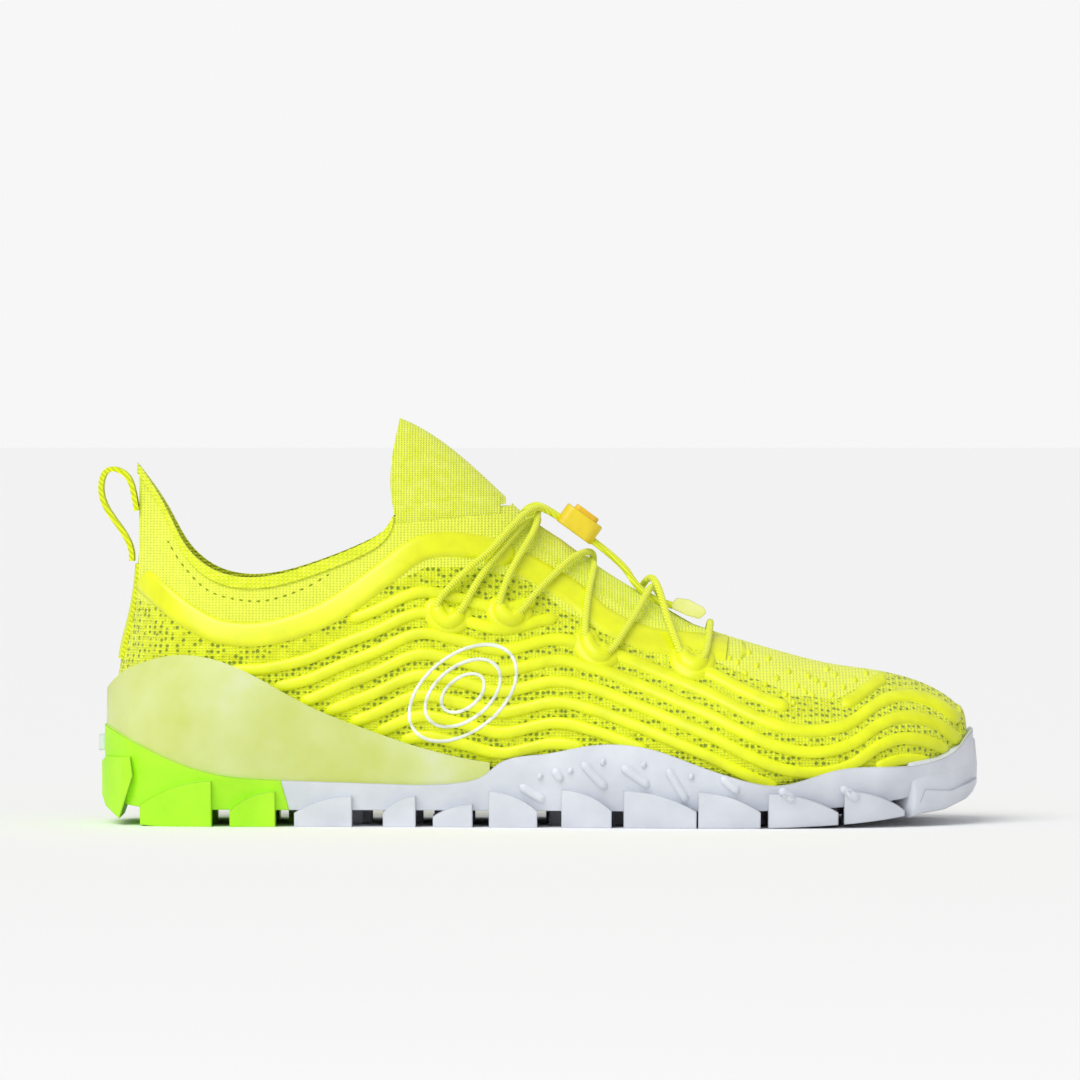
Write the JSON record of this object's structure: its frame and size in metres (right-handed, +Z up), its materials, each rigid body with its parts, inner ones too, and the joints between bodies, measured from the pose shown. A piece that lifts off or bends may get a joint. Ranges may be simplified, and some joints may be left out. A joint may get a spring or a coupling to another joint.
{
  "type": "running shoe",
  "caption": "Low trail running shoe for the right foot: knit sock upper with moulded ribs, cord lacing with a sliding lock, frosted heel counter and lugged rubber sole.",
  "frame": {"origin": "on the ground under the middle of the shoe", "axes": "+X to the toe, +Y to the inner side of the foot, +Z up"},
  "size_m": [0.2899, 0.1052, 0.1337],
  "materials": {
    "outsole_rubber": "satin",
    "heel_rubber": "satin",
    "midsole_foam": "matte",
    "footbed_foam": "matte",
    "footbed_cover": "matte",
    "board": "matte",
    "knit": "matte",
    "knit_light": "matte",
    "binding_knit": "matte",
    "rib_tpu": "satin",
    "counter_tpu": "frosted",
    "stiffener": "matte",
    "webbing": "matte",
    "lace_cord": "matte",
    "lock_plastic": "satin",
    "lock_button_plastic": "satin",
    "spring_steel": "satin",
    "clip_tpu": "satin"
  },
  "bodies": {
    "shoe": {"outsole": "outsole_rubber", "outsole_heel": "heel_rubber", "heel_tab": "outsole_rubber", "midsole": "midsole_foam", "strobel_board": "board", "insole": "footbed_foam", "insole_cover": "footbed_cover", "knit_upper": "knit", "collar_binding": "binding_knit", "heel_tape": "webbing", "heel_pull_loop": "webbing", "heel_counter": "counter_tpu", "toe_puff": "stiffener", "guides_outer": "rib_tpu", "guides_inner": "rib_tpu", "lace": "lace_cord", "end_clip": "clip_tpu"},
    "tongue": {"tongue_flap": "knit_light"},
    "lock": {"lock_body": "lock_plastic", "lock_spring": "spring_steel"},
    "button": {"lock_button": "lock_button_plastic"}
  },
  "joints": [
    {"name": "tongue_tilt", "type": "hinge", "parent": "shoe", "child": "tongue", "pos_m": [-0.008, 0, 0.104], "axis": [0, 1, 0], "range_deg": [0, 20]},
    {"name": "lock_slide", "type": "slide", "parent": "shoe", "child": "lock", "axis": [0.8096, 0, -0.587], "range_m": [0, 0.008]},
    {"name": "button_press", "type": "slide", "parent": "lock", "child": "button", "axis": [-0.587, 0, -0.8096], "range_m": [0, 0.0011], "stiffness_N_per_m": 400, "deforming": ["lock_spring"]}
  ]
}
